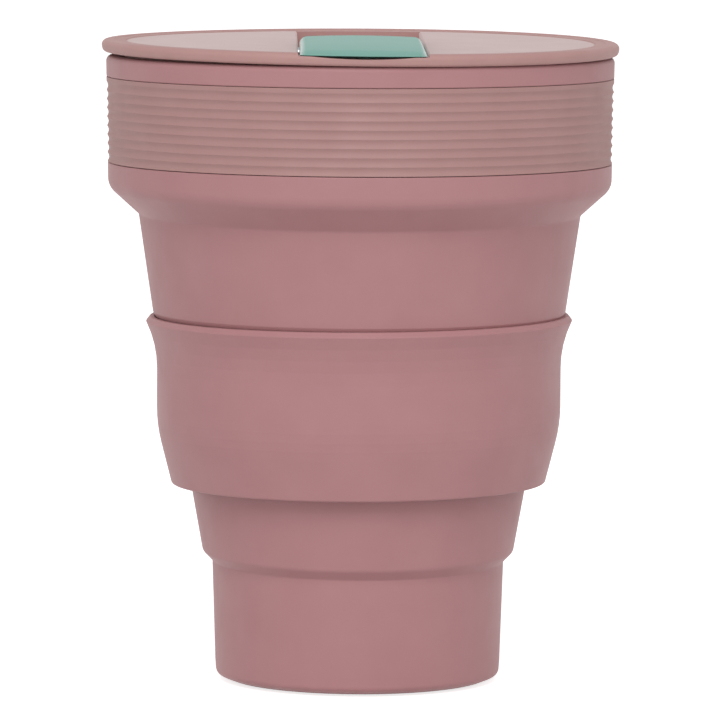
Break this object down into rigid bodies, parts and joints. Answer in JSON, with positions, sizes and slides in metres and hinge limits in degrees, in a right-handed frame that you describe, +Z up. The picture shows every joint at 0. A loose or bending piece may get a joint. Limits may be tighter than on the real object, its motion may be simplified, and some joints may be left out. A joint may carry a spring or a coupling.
{
  "type": "collapsible travel cup",
  "caption": "Collapsible travel cup: stepped silicone tiers that fold into each other, with a ribbed grip collar, a heat sleeve and a push-in lid with a hinged sip flap.",
  "frame": {"origin": "centre of the foot, on the surface that the cup stands on", "axes": "+Z up along the cup's axis, -Y to the front, where the sip hole is"},
  "size_m": [0.092, 0.092, 0.1151],
  "materials": {
    "silicone": "soft matt silicone, dusty rose",
    "collar_plastic": "matt moulded plastic, dusty rose",
    "lid_plastic": "satin moulded plastic, dusty rose",
    "seal_silicone": "translucent white silicone",
    "flap_plastic": "satin gloss moulded plastic, mint",
    "pin_steel": "drawn steel"
  },
  "bodies": {
    "base": {"base_tier": "silicone", "lower_fold": "silicone"},
    "lower": {"lower_tier": "silicone", "middle_fold": "silicone"},
    "middle": {"middle_tier": "silicone", "upper_fold": "silicone"},
    "sleeve": {"heat_sleeve": "silicone"},
    "upper": {"upper_tier": "silicone", "grip_collar": "collar_plastic"},
    "lid": {"lid_shell": "lid_plastic", "lid_seal": "seal_silicone", "hinge_pin": "pin_steel"},
    "flap": {"sip_flap": "flap_plastic", "flap_seal": "seal_silicone"}
  },
  "joints": [
    {"name": "lower_collapse", "type": "slide", "parent": "base", "child": "lower", "axis": [0, 0, 1], "range_m": [-0.022, 0], "deforming": ["lower_fold"]},
    {"name": "middle_collapse", "type": "slide", "parent": "lower", "child": "middle", "axis": [0, 0, 1], "range_m": [-0.0114, 0], "deforming": ["middle_fold"]},
    {"name": "upper_collapse", "type": "slide", "parent": "middle", "child": "upper", "axis": [0, 0, 1], "range_m": [-0.031, 0], "deforming": ["upper_fold"]},
    {"name": "sleeve_slide", "type": "slide", "parent": "middle", "child": "sleeve", "axis": [0, 0, -1], "range_m": [0, 0.0348]},
    {"name": "lid_lift", "type": "slide", "parent": "upper", "child": "lid", "axis": [0, 0, 1], "range_m": [0, 0.07]},
    {"name": "flap_hinge", "type": "hinge", "parent": "lid", "child": "flap", "pos_m": [0, -0.0025, 0.1119], "axis": [-1, 0, 0], "range_deg": [0, 175]}
  ]
}
